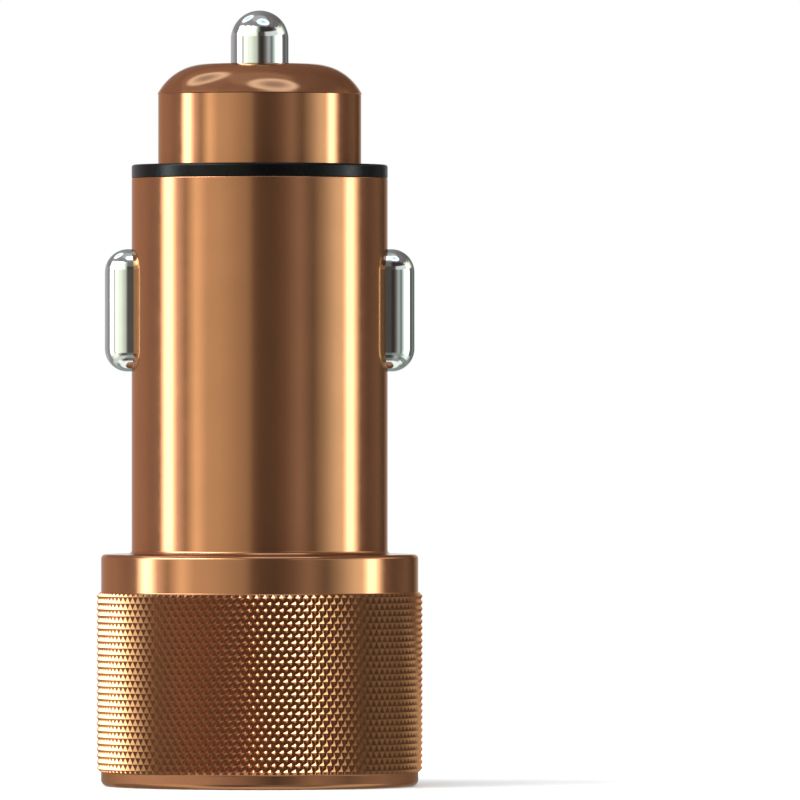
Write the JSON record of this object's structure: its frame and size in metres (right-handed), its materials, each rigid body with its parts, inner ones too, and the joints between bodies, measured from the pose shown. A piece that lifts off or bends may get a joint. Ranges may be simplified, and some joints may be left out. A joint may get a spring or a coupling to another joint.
{
  "type": "car usb charger plug",
  "caption": "Slim metal plug for a car's 12 volt socket, with a sprung tip, sprung side contacts, a knurled head and a charging socket in a lit black face.",
  "frame": {"origin": "centre of the rim of the socket face, which the plug stands on", "axes": "+Z along the plug's axis from the socket face to the nose tip, X through the two side contacts, -Y towards the tongue side of the USB socket"},
  "size_m": [0.0261, 0.026, 0.0621],
  "materials": {
    "copper_metal": "copper-coloured anodised, turned and polished",
    "black_plastic": "black, moulded, semi-gloss",
    "bright_plate": "bright nickel plate",
    "spring_steel": "drawn spring steel",
    "brass_sheet": "stamped brass sheet",
    "carrier_plastic": "dark moulded plastic",
    "circuit_board": "green laminate with solder mask",
    "face_black": "black, fine satin",
    "light_white": "milky white light guide",
    "lamp_white": "white lamp package",
    "socket_steel": "nickel-plated folded sheet",
    "orange_plastic": "orange, moulded",
    "pin_plate": "plated copper alloy",
    "can_metal": "drawn can",
    "ferrite": "dark sintered ferrite",
    "enamel_wire": "enamelled copper wire",
    "chip_black": "black moulding compound with tinned leads",
    "ceramic_tan": "fired ceramic with tinned ends"
  },
  "bodies": {
    "root": {"body_shell": "copper_metal", "nose_cap": "copper_metal", "insulating_ring": "black_plastic", "tip_spring": "spring_steel", "ground_spring_left": "spring_steel", "ground_spring_right": "spring_steel", "tip_terminal": "brass_sheet", "carrier_front": "carrier_plastic", "carrier_back": "carrier_plastic", "main_board": "circuit_board", "led_board": "circuit_board", "face_plate": "face_black", "light_ring": "light_white", "led_1": "lamp_white", "led_2": "lamp_white", "led_3": "lamp_white", "led_4": "lamp_white", "led_5": "lamp_white", "led_6": "lamp_white", "usb_shell": "socket_steel", "usb_insulator": "orange_plastic", "usb_pin_1": "pin_plate", "usb_pin_2": "pin_plate", "usb_pin_3": "pin_plate", "usb_pin_4": "pin_plate", "input_capacitor": "can_metal", "output_capacitor_left": "can_metal", "output_capacitor_right": "can_metal", "inductor_core": "ferrite", "inductor_coil": "enamel_wire", "converter_chip": "chip_black", "charge_chip": "chip_black", "rectifier_diode": "chip_black", "board_fuse": "ceramic_tan", "ceramic_capacitor_1": "ceramic_tan", "ceramic_capacitor_2": "ceramic_tan", "ceramic_capacitor_3": "ceramic_tan", "ceramic_capacitor_4": "ceramic_tan"},
    "tip": {"tip_contact": "bright_plate"},
    "contact_left": {"side_contact_left": "bright_plate"},
    "contact_right": {"side_contact_right": "bright_plate"}
  },
  "joints": [
    {"name": "tip_press", "type": "slide", "parent": "root", "child": "tip", "axis": [0, 0, -1], "range_m": [0, 0.003], "stiffness_N_per_m": 2000, "deforming": ["tip_spring"]},
    {"name": "contact_left_press", "type": "slide", "parent": "root", "child": "contact_left", "axis": [1, 0, 0], "range_m": [0, 0.002], "stiffness_N_per_m": 1500, "deforming": ["ground_spring_left"]},
    {"name": "contact_right_press", "type": "slide", "parent": "root", "child": "contact_right", "axis": [-1, 0, 0], "range_m": [0, 0.002], "stiffness_N_per_m": 1500, "deforming": ["ground_spring_right"]}
  ]
}
